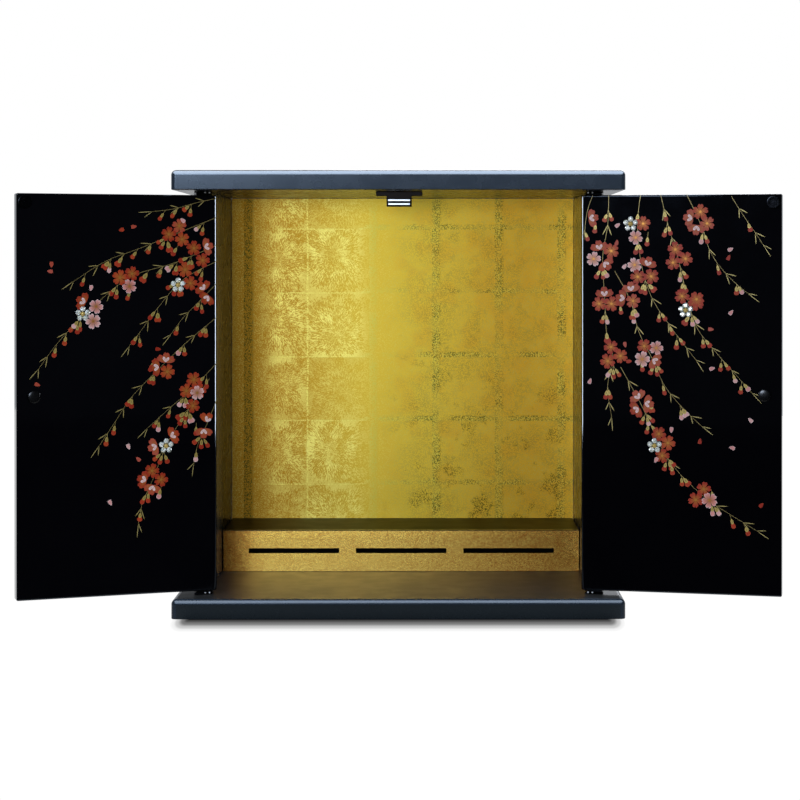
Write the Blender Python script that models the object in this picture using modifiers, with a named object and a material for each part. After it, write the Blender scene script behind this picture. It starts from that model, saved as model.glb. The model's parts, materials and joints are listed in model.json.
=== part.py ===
# Household altar cabinet: a table-top cabinet in black lacquer with a gold-leafed back board,
# a low gold-fronted dais inside, and two doors on pivot hinges, modelled with the doors open.
#
# Frame: metres, +Z up, the open front faces -Y. The origin is the centre of the base board's underside.

import math

import bmesh
import bpy
from mathutils import Matrix, Vector

# Clearances
GAP = 0.0003                  # between pieces that touch or rest on each other
HINGE_PLAY = 0.0006           # between the turning edge of a door and the cabinet front
PIN_PLAY = 0.0003             # around a hinge pin, on the radius

# Top and base boards
BOARD_WIDTH = 0.450
BOARD_DEPTH = 0.300
BOARD_THICKNESS = 0.0195
BOARD_ROUND = 0.005           # radius of the upper and the upright edges
BOARD_EASE = 0.0008           # radius of the lower edges
CLEAR_HEIGHT = 0.4055         # from the base board to the top board

# Carcass
SIDE_OVERHANG = 0.0202        # from the boards' ends to the outer faces of the side panels
SIDE_THICKNESS = 0.012
BACK_THICKNESS = 0.009
BACK_INSET = 0.003            # from the boards' rear edge to the back panel
GOLD_PANEL_THICKNESS = 0.003
PANEL_EASE = 0.0006

# Doors
PIVOT_SETBACK = 0.0364        # from the boards' front edge to the hinge pins
PIVOT_INSET = 0.0005          # from the inner wall face to the hinge pins
DOOR_THICKNESS = 0.015
DOOR_LAP = 0.0079             # from the hinge pins to the door's hinge edge
DOOR_CENTRE_GAP = 0.0015      # between the two closed doors
DOOR_END_GAP = 0.0045         # above and below a door
DOOR_ROUND = 0.0015
LEFT_OPEN_ANGLE = math.radians(160.2)
RIGHT_OPEN_ANGLE = math.radians(166.9)

# Pivot hinges
LEAF_WIDTH = 0.0095
LEAF_REACH = 0.0132           # from the pin to the leaf's square end
PIN_RADIUS = 0.002
PIN_IN_DOOR = 0.007           # how far a pin enters the door
BORE_SPARE = 0.001            # depth left below the pin's tip

# Magnet catch under the top board
CATCH_FLANGE_WIDTH = 0.047
CATCH_FLANGE_HEIGHT = 0.0043
CATCH_BODY_WIDTH = 0.0254
CATCH_HEIGHT = 0.0153
CATCH_DEPTH = 0.016
CATCH_EASE = 0.0005
PLATE_WIDTH = 0.0232
PLATE_HEIGHT = 0.0024
PLATE_DEPTH = 0.009
PLATE_PROUD = 0.0004
MAGNET_HEIGHT = 0.0009
MAGNET_RECESS = 0.0004        # behind the front of the steel plates
PLATES_DROP = 0.0075          # from the top board down to the upper steel plate
STRIKE_TOUCH = 0.0003         # between a closed door's strike disc and the steel plates

# Strike discs, knobs and the caps over the knobs' screws
STRIKE_RADIUS = 0.0067
STRIKE_PROUD = 0.0010
STRIKE_INSET = 0.0084         # from the door's free edge and from its top edge
STRIKE_DISH_RADIUS = 0.0038
STRIKE_DISH_DEPTH = 0.0004
KNOB_INSET = 0.0172           # from the door's free edge
KNOB_RADIUS = 0.008
KNOB_NECK_RADIUS = 0.0045
KNOB_LENGTH = 0.015
CAP_RADIUS = 0.0060
CAP_PROUD = 0.0016

# Dais
DAIS_HEIGHT = 0.0446
DAIS_DEPTH = 0.103
DAIS_SIDE_GAP = 0.0011        # to each wall
DAIS_FRONT_THICKNESS = 0.005
DAIS_TOP_THICKNESS = 0.009
DAIS_SIDE_THICKNESS = 0.009
DAIS_EASE = 0.0004
SLOT_COUNT = 3
SLOT_HEIGHT = 0.0054
SLOT_POST = 0.0182            # between two slots
SLOT_MARGIN = 0.0271          # from the end of the dais to the first slot

# Crystal flowers glued to the inner faces of the doors
STONE_RADIUS = 0.0028
STONE_HEIGHT = 0.0017
STONE_TABLE_SHARE = 0.5       # a stone's flat top as a share of its radius
STONE_SIDES = 8
STONE_OVERLAP = 0.0003        # where neighbouring stones are glued together
PETAL_STONES = 5
# Places as the distance from a door's hinge edge and the distance below its top edge.
LEFT_CRYSTALS = ((0.0400, 0.0900), (0.1350, 0.1180), (0.0520, 0.2500))
RIGHT_CRYSTALS = ((0.0500, 0.0290), (0.1050, 0.1150), (0.0740, 0.2500))

ROUND_STEPS = 4               # facets across a rounded edge
TURNED_STEPS = 24             # facets around a turned piece
PIN_STEPS = 16

# Heights and depths that follow from the sizes above
BASE_TOP = BOARD_THICKNESS
CEILING = BASE_TOP + CLEAR_HEIGHT
INNER_WIDTH = BOARD_WIDTH - 2 * (SIDE_OVERHANG + SIDE_THICKNESS)
BOARD_FRONT = -BOARD_DEPTH / 2
BOARD_BACK = BOARD_DEPTH / 2
PIVOT_Y = BOARD_FRONT + PIVOT_SETBACK
PIVOT_X = INNER_WIDTH / 2 - PIVOT_INSET
DOOR_SWEEP = math.hypot(DOOR_LAP, DOOR_THICKNESS / 2)
CARCASS_FRONT = PIVOT_Y + DOOR_SWEEP + HINGE_PLAY
CARCASS_BACK = BOARD_BACK - BACK_INSET
GOLD_FACE = CARCASS_BACK - BACK_THICKNESS - GAP - GOLD_PANEL_THICKNESS
DOOR_WIDTH = PIVOT_X + DOOR_LAP - DOOR_CENTRE_GAP / 2
DOOR_BOTTOM = BASE_TOP + DOOR_END_GAP
DOOR_TOP = CEILING - DOOR_END_GAP
LEAF_THICKNESS = (DOOR_END_GAP - 3 * GAP) / 2
DAIS_HALF_WIDTH = INNER_WIDTH / 2 - DAIS_SIDE_GAP
DAIS_BACK = GOLD_FACE - GAP
DAIS_FRONT = DAIS_BACK - DAIS_DEPTH
DAIS_BOTTOM = BASE_TOP + GAP
DAIS_TOP = BASE_TOP + DAIS_HEIGHT
SLOT_WIDTH = (2 * (DAIS_HALF_WIDTH - SLOT_MARGIN) - (SLOT_COUNT - 1) * SLOT_POST) / SLOT_COUNT
# A closed door's inner face lies half its thickness behind the pins.
PLATE_FACE = PIVOT_Y + DOOR_THICKNESS / 2 + GAP + STRIKE_PROUD + STRIKE_TOUCH
CATCH_FRONT = PLATE_FACE + PLATE_PROUD

LACQUER = (0.022, 0.026, 0.034)
COLOURS = {
    "lacquer": (LACQUER, 0.25, 0.0),
    "gold_leaf": ((0.62, 0.42, 0.09), 0.38, 1.0),
    "gold_paint": ((0.55, 0.33, 0.10), 0.45, 0.6),
    "steel": ((0.62, 0.64, 0.67), 0.25, 1.0),
    "dark_steel": ((0.05, 0.05, 0.055), 0.35, 0.8),
    "brown_plastic": ((0.075, 0.05, 0.055), 0.45, 0.0),
    "black_plastic": ((0.02, 0.02, 0.022), 0.35, 0.0),
    "ferrite": ((0.05, 0.05, 0.055), 0.6, 0.0),
    "crystal": ((0.85, 0.86, 0.88), 0.05, 0.2),
}


def clear_scene():
    for obj in list(bpy.data.objects):
        bpy.data.objects.remove(obj, do_unlink=True)


def new_collection(name):
    collection = bpy.data.collections.new(name)
    bpy.context.scene.collection.children.link(collection)
    return collection


def add_material(obj, finish):
    colour, roughness, metallic = COLOURS[finish]
    material = bpy.data.materials.new(obj.name + "_" + finish)
    material.use_nodes = True
    shader = material.node_tree.nodes["Principled BSDF"]
    shader.inputs["Base Color"].default_value = (*colour, 1.0)
    shader.inputs["Roughness"].default_value = roughness
    shader.inputs["Metallic"].default_value = metallic
    obj.data.materials.append(material)


def add_object(collection, name, bm, finish=None, parent=None):
    mesh = bpy.data.meshes.new(name)
    bm.to_mesh(mesh)
    bm.free()
    obj = bpy.data.objects.new(name, mesh)
    collection.objects.link(obj)
    obj.parent = parent
    if finish:
        add_material(obj, finish)
    return obj


def box_mesh(low, high):
    low = Vector(low)
    high = Vector(high)
    bm = bmesh.new()
    bmesh.ops.create_cube(bm, size=1.0)
    size = high - low
    bmesh.ops.scale(bm, vec=size, verts=bm.verts)
    bmesh.ops.translate(bm, vec=(low + high) / 2, verts=bm.verts)
    return bm


def edge_limit(low, high):
    # The widest rounding that the thinnest side of a box can take.
    return 0.45 * min(b - a for a, b in zip(low, high))


def add_box(collection, name, low, high, finish, ease=0.0, parent=None):
    obj = add_object(collection, name, box_mesh(low, high), finish, parent)
    if ease > 0:
        bevel = obj.modifiers.new("eased edges", "BEVEL")
        bevel.width = min(ease, edge_limit(low, high))
        bevel.segments = 1
        bevel.limit_method = "ANGLE"
    return obj


def add_cutter(collection, name, bm):
    cutter = add_object(collection, name, bm)
    cutter.hide_render = True
    cutter.display_type = "WIRE"
    return cutter


def cut(obj, cutter, operation="DIFFERENCE"):
    boolean = obj.modifiers.new(cutter.name, "BOOLEAN")
    boolean.operation = operation
    boolean.solver = "EXACT"
    boolean.object = cutter


def rounded_board(collection, name, low, high, finish, wide, fine, is_wide, parent=None):
    # One Bevel modifier rounds every edge; is_wide picks the edges that get the wide radius.
    wide = min(wide, edge_limit(low, high))
    bm = box_mesh(low, high)
    weights = bm.edges.layers.float.new("bevel_weight_edge")
    for edge in bm.edges:
        a, b = (v.co for v in edge.verts)
        edge[weights] = 1.0 if is_wide(a, b) else min(fine / wide, 1.0)
    obj = add_object(collection, name, bm, finish, parent)
    bevel = obj.modifiers.new("rounded edges", "BEVEL")
    bevel.width = wide
    bevel.segments = ROUND_STEPS
    bevel.limit_method = "WEIGHT"
    return obj


def upper_and_upright(low, high):
    middle = (low[2] + high[2]) / 2
    return lambda a, b: a.z > middle or b.z > middle


def smooth(obj, angle=35):
    obj.data.shade_smooth()
    obj.data.set_sharp_from_angle(angle=math.radians(angle))


def turned(collection, name, profile, finish, parent, placing):
    # The profile runs down the outer side of the piece, top to bottom, in the XZ plane.
    bm = bmesh.new()
    verts = [bm.verts.new((radius, 0, height)) for radius, height in profile]
    for a, b in zip(verts, verts[1:]):
        bm.edges.new((a, b))
    obj = add_object(collection, name, bm, finish, parent)
    screw = obj.modifiers.new("turned", "SCREW")
    screw.axis = "Z"
    screw.angle = math.tau
    screw.steps = TURNED_STEPS
    screw.render_steps = TURNED_STEPS
    screw.use_merge_vertices = True
    screw.merge_threshold = 0.00001
    screw.use_smooth_shade = True
    obj.matrix_local = placing
    return obj


def arc(centre_radius, centre_height, radius, start, stop, steps):
    # Points of a quarter-round or similar stretch of a profile, angles in degrees from +X towards +Z.
    points = []
    for i in range(steps + 1):
        angle = math.radians(start + (stop - start) * i / steps)
        points.append((centre_radius + radius * math.cos(angle), centre_height + radius * math.sin(angle)))
    return points


def build_boards(parts):
    for name, bottom in (("base_board", 0.0), ("top_board", CEILING)):
        low = (-BOARD_WIDTH / 2, BOARD_FRONT, bottom)
        high = (BOARD_WIDTH / 2, BOARD_BACK, bottom + BOARD_THICKNESS)
        board = rounded_board(parts, name, low, high, "lacquer", BOARD_ROUND, BOARD_EASE,
                              upper_and_upright(low, high))
        smooth(board, 20)


def build_carcass(parts):
    bottom = BASE_TOP + GAP
    top = CEILING - GAP
    inner = INNER_WIDTH / 2
    for side, name in ((-1, "side_panel_left"), (1, "side_panel_right")):
        xs = sorted((side * inner, side * (inner + SIDE_THICKNESS)))
        add_box(parts, name, (xs[0], CARCASS_FRONT, bottom), (xs[1], CARCASS_BACK, top), "lacquer", PANEL_EASE)
    half = inner - GAP
    add_box(parts, "back_panel", (-half, CARCASS_BACK - BACK_THICKNESS, bottom), (half, CARCASS_BACK, top), "lacquer")
    add_box(parts, "gold_panel", (-half, GOLD_FACE, bottom), (half, GOLD_FACE + GOLD_PANEL_THICKNESS, top), "gold_leaf")


def build_dais(parts, cutters):
    half = DAIS_HALF_WIDTH
    behind = DAIS_FRONT + DAIS_FRONT_THICKNESS
    under_top = DAIS_TOP - DAIS_TOP_THICKNESS - GAP
    front = add_box(parts, "dais_front", (-half, DAIS_FRONT, DAIS_BOTTOM), (half, behind, DAIS_TOP), "gold_paint")
    middle = (DAIS_BOTTOM + DAIS_TOP) / 2
    pitch = SLOT_WIDTH + SLOT_POST
    for i in range(SLOT_COUNT):
        centre = (i - (SLOT_COUNT - 1) / 2) * pitch
        low = (centre - SLOT_WIDTH / 2, DAIS_FRONT - DAIS_FRONT_THICKNESS, middle - SLOT_HEIGHT / 2)
        high = (centre + SLOT_WIDTH / 2, behind + DAIS_FRONT_THICKNESS, middle + SLOT_HEIGHT / 2)
        cut(front, add_cutter(cutters, "slot_cutter_%d" % (i + 1), box_mesh(low, high)))
    add_box(parts, "dais_top", (-half, behind + GAP, DAIS_TOP - DAIS_TOP_THICKNESS), (half, DAIS_BACK, DAIS_TOP),
            "lacquer", DAIS_EASE)
    for side, name in ((-1, "dais_side_left"), (1, "dais_side_right")):
        xs = sorted((side * half, side * (half - DAIS_SIDE_THICKNESS)))
        add_box(parts, name, (xs[0], behind + GAP, DAIS_BOTTOM), (xs[1], DAIS_BACK, under_top), "lacquer")


def build_catch(parts, cutters):
    top = CEILING - GAP
    back = CATCH_FRONT + CATCH_DEPTH
    body_half = CATCH_BODY_WIDTH / 2
    flange_half = CATCH_FLANGE_WIDTH / 2
    plates_top = CEILING - PLATES_DROP
    plates_bottom = plates_top - 2 * PLATE_HEIGHT - MAGNET_HEIGHT - 2 * GAP
    housing = add_object(parts, "catch_housing",
                         box_mesh((-flange_half, CATCH_FRONT, top - CATCH_FLANGE_HEIGHT), (flange_half, back, top)),
                         "brown_plastic")
    body = box_mesh((-body_half, CATCH_FRONT, CEILING - CATCH_HEIGHT), (body_half, back, top - CATCH_FLANGE_HEIGHT / 2))
    cut(housing, add_cutter(cutters, "catch_body_joined", body), "UNION")
    pocket_half = PLATE_WIDTH / 2 + GAP
    pocket = box_mesh((-pocket_half, CATCH_FRONT - PLATE_DEPTH, plates_bottom - GAP),
                      (pocket_half, PLATE_FACE + PLATE_DEPTH + GAP, plates_top + GAP))
    cut(housing, add_cutter(cutters, "catch_pocket_cutter", pocket))
    bevel = housing.modifiers.new("eased edges", "BEVEL")
    bevel.width = CATCH_EASE
    bevel.segments = 1
    bevel.limit_method = "ANGLE"
    plate_half = PLATE_WIDTH / 2
    height = plates_top
    for name, thickness, face, finish in (("catch_plate_upper", PLATE_HEIGHT, PLATE_FACE, "steel"),
                                          ("catch_magnet", MAGNET_HEIGHT, PLATE_FACE + MAGNET_RECESS, "ferrite"),
                                          ("catch_plate_lower", PLATE_HEIGHT, PLATE_FACE, "steel")):
        add_box(parts, name, (-plate_half, face, height - thickness), (plate_half, PLATE_FACE + PLATE_DEPTH, height),
                finish)
        height -= thickness + GAP


def leaf_mesh(reach, low, high):
    # A leaf lies along +X from the pin: a strip with a square far end and a round end about the pin.
    radius = LEAF_WIDTH / 2
    curve_steps = PIN_STEPS // 2
    outline = [(reach, -radius), (reach, radius)]
    for i in range(curve_steps + 1):
        angle = math.pi / 2 + math.pi * i / curve_steps
        outline.append((radius * math.cos(angle), radius * math.sin(angle)))
    bm = bmesh.new()
    face = bm.faces.new([bm.verts.new((x, y, low)) for x, y in outline])
    raised = bmesh.ops.extrude_face_region(bm, geom=[face])
    verts = [v for v in raised["geom"] if isinstance(v, bmesh.types.BMVert)]
    bmesh.ops.translate(bm, vec=(0, 0, high - low), verts=verts)
    bmesh.ops.recalc_face_normals(bm, faces=bm.faces)
    return bm


def rod_mesh(radius, low, high):
    bm = bmesh.new()
    bmesh.ops.create_cone(bm, cap_ends=True, segments=PIN_STEPS, radius1=radius, radius2=radius, depth=high - low,
                          matrix=Matrix.Translation((0, 0, (low + high) / 2)))
    return bm


def build_hinge(parts, cutters, side, end, holder):
    # end is +1 for the hinge above the door and -1 for the one below it.
    label = "%s_%s" % ("left" if side < 0 else "right", "top" if end > 0 else "bottom")
    mount = CEILING if end > 0 else BASE_TOP
    cabinet_leaf = sorted((mount - end * GAP, mount - end * (GAP + LEAF_THICKNESS)))
    door_edge = mount - end * DOOR_END_GAP
    door_leaf = sorted((door_edge + end * GAP, door_edge + end * (GAP + LEAF_THICKNESS)))
    pin = sorted((mount - end * (GAP + LEAF_THICKNESS / 2), door_edge - end * PIN_IN_DOOR))

    fixed = add_object(parts, "hinge_leaf_cabinet_" + label, leaf_mesh(LEAF_REACH, *cabinet_leaf), "dark_steel")
    turn = math.pi if side < 0 else 0.0
    place = Matrix.Translation((side * PIVOT_X, PIVOT_Y, 0)) @ Matrix.Rotation(turn, 4, "Z")
    fixed.matrix_world = place
    joined_pin = add_cutter(cutters, "hinge_pin_" + label, rod_mesh(PIN_RADIUS, *pin))
    joined_pin.matrix_world = place
    cut(fixed, joined_pin, "UNION")

    # The turning leaf runs along its door: +X from the pins on the left door, -X on the right one.
    turning = add_object(parts, "hinge_leaf_door_" + label, leaf_mesh(LEAF_REACH, *door_leaf), "dark_steel", holder)
    turning.matrix_local = Matrix.Rotation(math.pi if side > 0 else 0.0, 4, "Z")
    hole = add_cutter(cutters, "hinge_hole_" + label,
                      rod_mesh(PIN_RADIUS + PIN_PLAY, door_leaf[0] - LEAF_THICKNESS, door_leaf[1] + LEAF_THICKNESS))
    hole.parent = holder
    cut(turning, hole)


def build_door(parts, cutters, side, open_angle, crystals):
    # The door is made lying along +X from its pins with its inner face towards +Y, and the empty on the pins
    # turns it: a left door closes at no turn, a right door is the left one mirrored across X.
    word = "left" if side < 0 else "right"
    holder = bpy.data.objects.new("pivot_" + word, None)
    parts.objects.link(holder)
    holder.location = (side * PIVOT_X, PIVOT_Y, 0)
    holder.rotation_euler = (0, 0, side * open_angle)

    def along(distance):
        # Distance from the door's hinge edge, as an X place in the holder's frame.
        return -side * (distance - DOOR_LAP)

    xs = sorted((along(0), along(DOOR_WIDTH)))
    low = (xs[0], -DOOR_THICKNESS / 2, DOOR_BOTTOM)
    high = (xs[1], DOOR_THICKNESS / 2, DOOR_TOP)
    door = rounded_board(parts, "door_" + word, low, high, "lacquer", DOOR_ROUND, DOOR_ROUND, lambda a, b: True, holder)
    for end, edge in ((1, DOOR_TOP), (-1, DOOR_BOTTOM)):
        depth = PIN_IN_DOOR + BORE_SPARE
        spare = DOOR_END_GAP
        span = sorted((edge + end * spare, edge - end * depth))
        bore = add_cutter(cutters, "pin_bore_%s_%s" % (word, "top" if end > 0 else "bottom"),
                          rod_mesh(PIN_RADIUS + PIN_PLAY, *span))
        bore.parent = holder
        cut(door, bore)
        build_hinge(parts, cutters, side, end, holder)
    smooth(door, 20)

    inner = DOOR_THICKNESS / 2 + GAP
    outer = -DOOR_THICKNESS / 2 - GAP
    face_in = Matrix.Rotation(-math.pi / 2, 4, "X")    # turns a profile's +Z towards +Y
    face_out = Matrix.Rotation(math.pi / 2, 4, "X")
    strike_at = Matrix.Translation((along(DOOR_WIDTH - STRIKE_INSET), inner, DOOR_TOP - STRIKE_INSET))
    turned(parts, "strike_" + word, strike_profile(), "dark_steel", holder, strike_at @ face_in)
    knob_x = along(DOOR_WIDTH - KNOB_INSET)
    knob_z = (DOOR_BOTTOM + DOOR_TOP) / 2
    turned(parts, "knob_cap_" + word, cap_profile(), "black_plastic", holder,
           Matrix.Translation((knob_x, inner, knob_z)) @ face_in)
    turned(parts, "knob_" + word, knob_profile(), "dark_steel", holder,
           Matrix.Translation((knob_x, outer, knob_z)) @ face_out)
    for i, (from_edge, below_top) in enumerate(crystals):
        place = Matrix.Translation((along(from_edge), inner, DOOR_TOP - below_top)) @ face_in
        crystal_flower(parts, cutters, "crystal_flower_%s_%d" % (word, i + 1), holder, place)


def strike_profile():
    edge = STRIKE_PROUD / 2
    points = [(0, STRIKE_PROUD - STRIKE_DISH_DEPTH), (STRIKE_DISH_RADIUS * 0.8, STRIKE_PROUD - STRIKE_DISH_DEPTH),
              (STRIKE_DISH_RADIUS, STRIKE_PROUD)]
    points += arc(STRIKE_RADIUS - edge, STRIKE_PROUD - edge, edge, 90, 0, 2)
    return points + [(STRIKE_RADIUS, 0), (0, 0)]


def cap_profile():
    # A shallow dome on a short upright rim.
    rim = CAP_PROUD / 4
    rise = CAP_PROUD - rim
    points = []
    steps = 5
    for i in range(steps + 1):
        angle = math.pi / 2 * (1 - i / steps)
        points.append((CAP_RADIUS * math.cos(angle), rim + rise * math.sin(angle)))
    return points + [(CAP_RADIUS, 0), (0, 0)]


def knob_profile():
    # A round button head on a narrower neck with a small foot.
    head = KNOB_LENGTH * 0.5
    foot = KNOB_LENGTH * 0.12
    crown = head / 2
    points = [(0, KNOB_LENGTH)]
    points += arc(KNOB_RADIUS - crown, KNOB_LENGTH - crown, crown, 90, -90, 8)
    points += [(KNOB_NECK_RADIUS, KNOB_LENGTH - head), (KNOB_NECK_RADIUS, foot)]
    points += [(KNOB_RADIUS * 0.8, foot), (KNOB_RADIUS * 0.8, 0), (0, 0)]
    return points


def stone_mesh(x, y):
    bm = bmesh.new()
    bmesh.ops.create_cone(bm, cap_ends=True, segments=STONE_SIDES, radius1=STONE_RADIUS,
                          radius2=STONE_RADIUS * STONE_TABLE_SHARE, depth=STONE_HEIGHT,
                          matrix=Matrix.Translation((x, y, STONE_HEIGHT / 2)))
    return bm


def crystal_flower(parts, cutters, name, holder, place):
    # Five cut stones around a sixth, glued edge to edge; the Boolean unions make them one solid.
    flower = add_object(parts, name, stone_mesh(0, 0), "crystal", holder)
    flower.matrix_local = place
    ring = 2 * STONE_RADIUS * math.cos(math.pi / STONE_SIDES) - STONE_OVERLAP
    for i in range(PETAL_STONES):
        angle = math.tau * i / PETAL_STONES + math.pi / 2
        stone = add_cutter(cutters, "%s_stone_%d" % (name, i + 1),
                           stone_mesh(ring * math.cos(angle), ring * math.sin(angle)))
        stone.parent = holder
        stone.matrix_local = place
        cut(flower, stone, "UNION")


def main():
    clear_scene()
    parts = new_collection("household_altar_cabinet")
    cutters = new_collection("cutters")
    build_boards(parts)
    build_carcass(parts)
    build_dais(parts, cutters)
    build_catch(parts, cutters)
    build_door(parts, cutters, -1, LEFT_OPEN_ANGLE, LEFT_CRYSTALS)
    build_door(parts, cutters, 1, RIGHT_OPEN_ANGLE, RIGHT_CRYSTALS)


main()
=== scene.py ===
# Household altar cabinet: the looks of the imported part, in metres and in the CAD model's frame.
# Black lacquered boards and doors, a gold-leafed back, a dais front of sprinkled gold powder, and
# painted cherry branches with cut-glass flowers on the inner faces of the doors.

import functools
import json
import math
import random

import bmesh
import bpy
from mathutils import Matrix, Vector


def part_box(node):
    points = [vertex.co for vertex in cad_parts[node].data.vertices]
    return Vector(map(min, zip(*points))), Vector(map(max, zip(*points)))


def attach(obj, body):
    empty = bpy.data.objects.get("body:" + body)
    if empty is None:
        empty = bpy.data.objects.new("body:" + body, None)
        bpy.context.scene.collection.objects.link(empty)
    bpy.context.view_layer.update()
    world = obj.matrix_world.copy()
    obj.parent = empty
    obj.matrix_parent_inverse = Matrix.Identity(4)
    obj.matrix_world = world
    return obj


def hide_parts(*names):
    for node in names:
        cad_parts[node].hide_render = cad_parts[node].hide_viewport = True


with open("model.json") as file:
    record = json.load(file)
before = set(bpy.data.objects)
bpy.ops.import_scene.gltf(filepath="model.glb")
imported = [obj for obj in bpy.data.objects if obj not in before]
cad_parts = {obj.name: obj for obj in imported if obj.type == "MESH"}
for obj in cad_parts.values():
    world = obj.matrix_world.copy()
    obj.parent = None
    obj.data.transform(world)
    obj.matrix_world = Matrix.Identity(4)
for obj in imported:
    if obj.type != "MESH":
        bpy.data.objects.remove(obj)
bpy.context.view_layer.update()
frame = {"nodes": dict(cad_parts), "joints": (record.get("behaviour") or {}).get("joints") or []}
scene = bpy.context.scene
millimetre = 0.001
print("frame loaded")


def linear(hexColour):
    # an sRGB hex colour as the linear values that sockets take
    channels = [int(hexColour[i:i + 2], 16) / 255 for i in (1, 3, 5)]
    return tuple(c / 12.92 if c <= 0.04045 else ((c + 0.055) / 1.055) ** 2.4 for c in channels) + (1.0,)


def plug(node, values):
    # each of these sockets takes a value, a hex colour or another node's output
    for name, value in values.items():
        if isinstance(value, bpy.types.NodeSocket):
            node.id_data.links.new(value, node.inputs[name])
        else:
            node.inputs[name].default_value = linear(value) if isinstance(value, str) else value


# The setting that the second word of a node's kind chooses, and kinds that are used often
mainSetting = {"Math": "operation", "VectorMath": "operation", "MapRange": "interpolation_type",
               "Mix": "data_type", "TexWhiteNoise": "noise_dimensions", "Attribute": "attribute_name",
               "UVMap": "uv_map"}
plus = "Math ADD"
minus = "Math SUBTRACT"
times = "Math MULTIPLY"
timesPlus = "Math MULTIPLY_ADD"
greatest = "Math MAXIMUM"
smooth = "MapRange SMOOTHSTEP"    # value, low and high, and what they become: 0 and 1 unless it is said
noise = "TexNoise"                # place, scale, detail and roughness
blend = "Mix RGBA"                # share, first and second colour


def addNode(tree, kind, *values, out=0, **named):
    # one node and its links: values fill the sockets in use in their order and named ones their own sockets;
    # values that are left go on to another node of the kind, as in a long product
    name, *choice = kind.split()
    node = tree.nodes.new("ShaderNode" + name)
    if choice:
        setattr(node, mainSetting[name], choice[0])
    inUse = [i for i, socket in enumerate(node.inputs) if socket.enabled]
    plug(node, dict(zip(inUse, values)))
    plug(node, named)
    outputs = [socket for socket in node.outputs if socket.enabled]
    result = node.outputs[out] if isinstance(out, str) else outputs[out] if outputs else None
    left = values[len(inUse):]
    return addNode(tree, kind, result, *left) if left else result


def newMaterial(name, sockets):
    # a Principled material, its shader and the function that adds nodes to it
    material = bpy.data.materials.new(name)
    material.use_nodes = True
    shader = material.node_tree.nodes["Principled BSDF"]
    plug(shader, sockets)
    return material, shader, functools.partial(addNode, material.node_tree)


def emptyTree(owner):
    # an owner's node tree without its first nodes, and the function that adds nodes to it
    owner.use_nodes = True
    owner.node_tree.nodes.clear()
    return functools.partial(addNode, owner.node_tree)


def addPiece(bm, name, material, body, replaced=(), smoothAngle=30, weighted=False):
    # a finished bmesh becomes a piece that rides on a body
    mesh = bpy.data.meshes.new(name)
    bm.to_mesh(mesh)
    bm.free()
    mesh.shade_smooth()
    mesh.set_sharp_from_angle(angle=math.radians(smoothAngle))
    mesh.materials.append(material)
    piece = bpy.data.objects.new(name, mesh)
    scene.collection.objects.link(piece)
    if weighted:
        flatten = piece.modifiers.new("flat faces stay flat", "WEIGHTED_NORMAL")
        flatten.keep_sharp = True
    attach(piece, body)
    if replaced:
        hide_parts(*replaced)
    return piece


# Camera at the photograph's viewpoint
cameraSpec = {
    "place": (0.0345, -2.1482, 0.3547),
    "lens": 90.95,               # millimetres, on a 36 mm sensor
    "tiltDown": 0.171,           # degrees
    "turnRight": 0.258,
    "shift": (-0.0529, -0.1665),
}

cameraData = bpy.data.cameras.new("camera")
cameraData.sensor_width = 36.0
cameraData.lens = cameraSpec["lens"]
cameraData.shift_x, cameraData.shift_y = cameraSpec["shift"]
cameraData.clip_end = 50.0
camera = bpy.data.objects.new("camera", cameraData)
camera.location = cameraSpec["place"]
camera.rotation_euler = (math.radians(90 - cameraSpec["tiltDown"]), 0, math.radians(-cameraSpec["turnRight"]))
scene.collection.objects.link(camera)
scene.camera = camera

# Studio: softboxes, a pale floor and a white backdrop
studio = {
    "frontLeft": {"place": (-0.78, -2.1, 0.92), "aim": (0, 0, 0.3), "size": (0.8, 0.6), "power": 34,
                  "colour": "#d8e6fb"},
    "interiorKey": {"place": (-0.24, -2.25, 0.32), "aim": (0, 0, 0.25), "size": (0.6, 0.5), "power": 11,
                    "colour": "#ffffff"},
    "leftStrip": {"place": (-1.7, -0.5, 0.62), "aim": (0, -0.2, 0.62), "size": (0.5, 1.2), "power": 120,
                  "colour": "#f8faff"},
    "rightStrip": {"place": (1.7, -0.5, 0.62), "aim": (0, -0.2, 0.62), "size": (0.5, 1.2), "power": 120,
                   "colour": "#f8faff"},
    "topFront": {"place": (0, -1.1, 1.35), "aim": (0, -1.1, 0), "size": (2.6, 2.4), "power": 400,
                 "colour": "#e6edf8"},
    "rear": {"place": (0.4, 2.2, 1.2), "aim": (0, 0, 0.25), "size": (1.2, 1.0), "power": 30,
             "colour": "#f6f8ff"},
}
roomSpec = {"colour": "#eef2f8", "dim": 0.02, "bright": 0.6, "dimFrom": -0.05, "brightFrom": 0.3}
floorSpec = {
    "halfWidth": 2.4, "front": -2.4, "back": 2.4, "height": -0.0002,
    "baseHalf": {"X": 0.207, "Y": 0.15},         # half the base board's size as the shadow sees it
    "steepness": {"X": 4.0, "Y": 1.0},
    "reach": 0.1,                                # the shadow ends within 100 mm of the board
    "shadow": ((0.0, (0.018, 0.018, 0.019)), (0.06, (0.07,) * 3), (0.22, (0.2,) * 3), (0.42, (0.6,) * 3),
               (0.56, (0.9,) * 3), (0.7, (1.02,) * 3)),
}
velvetSpec = {"halfWidth": 2.4, "front": -2.4, "back": -0.24, "height": 0.0004, "colour": "#020202"}


def addSoftbox(name, spec):
    light = bpy.data.lights.new(name, "AREA")
    light.shape = "RECTANGLE"
    light.size, light.size_y = spec["size"]
    light.energy = spec["power"]
    light.color = linear(spec["colour"])[:3]
    holder = bpy.data.objects.new(name, light)
    holder.location = spec["place"]
    aim = Vector(spec["aim"]) - Vector(spec["place"])
    holder.rotation_euler = aim.to_track_quat("-Z", "Y").to_euler()
    holder.visible_camera = False
    scene.collection.objects.link(holder)
    return holder


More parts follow.
